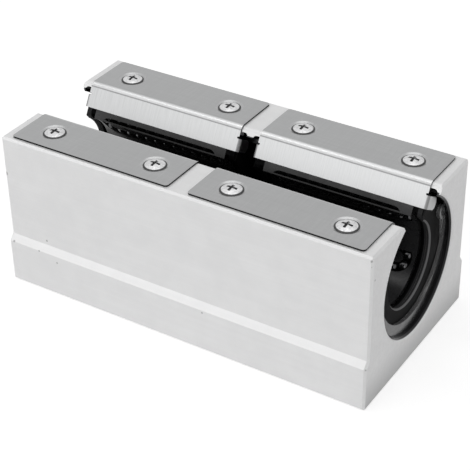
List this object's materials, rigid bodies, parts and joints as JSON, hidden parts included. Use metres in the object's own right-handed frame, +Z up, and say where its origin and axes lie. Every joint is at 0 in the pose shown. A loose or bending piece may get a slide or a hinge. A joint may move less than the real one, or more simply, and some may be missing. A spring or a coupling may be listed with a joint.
{
  "type": "open linear bearing block",
  "caption": "Long open linear bearing block: a bored aluminium block with slotted ball bushings under folded steel clips, for a shaft that is carried on a rail from one side.",
  "frame": {"origin": "centre of the flat mounting face, which lies at z = 0", "axes": "+X along the shaft, +Y across the block, +Z up out of the mounting face, toward the shaft slot"},
  "size_m": [0.096, 0.048, 0.0398],
  "materials": {
    "block": "clear anodised, smooth satin",
    "sleeve": "ground bearing steel",
    "cage": "moulded black polyacetal",
    "seal": "smooth black nitrile",
    "balls": "polished ball steel",
    "ring": "oiled dark spring steel",
    "clip": "finely brushed sheet",
    "screws": "bright nickel plate"
  },
  "bodies": {
    "root": {"bearing_block": "block", "sleeve_left": "sleeve", "sleeve_right": "sleeve", "ball_cage_left": "cage", "ball_cage_right": "cage", "seal_left_outer": "seal", "seal_left_inner": "seal", "seal_right_inner": "seal", "seal_right_outer": "seal", "balls_left_far_upper": "balls", "balls_left_far_lower": "balls", "balls_left_near_upper": "balls", "balls_left_near_lower": "balls", "balls_right_far_upper": "balls", "balls_right_far_lower": "balls", "balls_right_near_upper": "balls", "balls_right_near_lower": "balls", "retaining_ring_left": "ring", "retaining_ring_right": "ring", "clip_left_near": "clip", "clip_left_far": "clip", "clip_right_near": "clip", "clip_right_far": "clip", "clip_screws": "screws"}
  },
  "joints": []
}
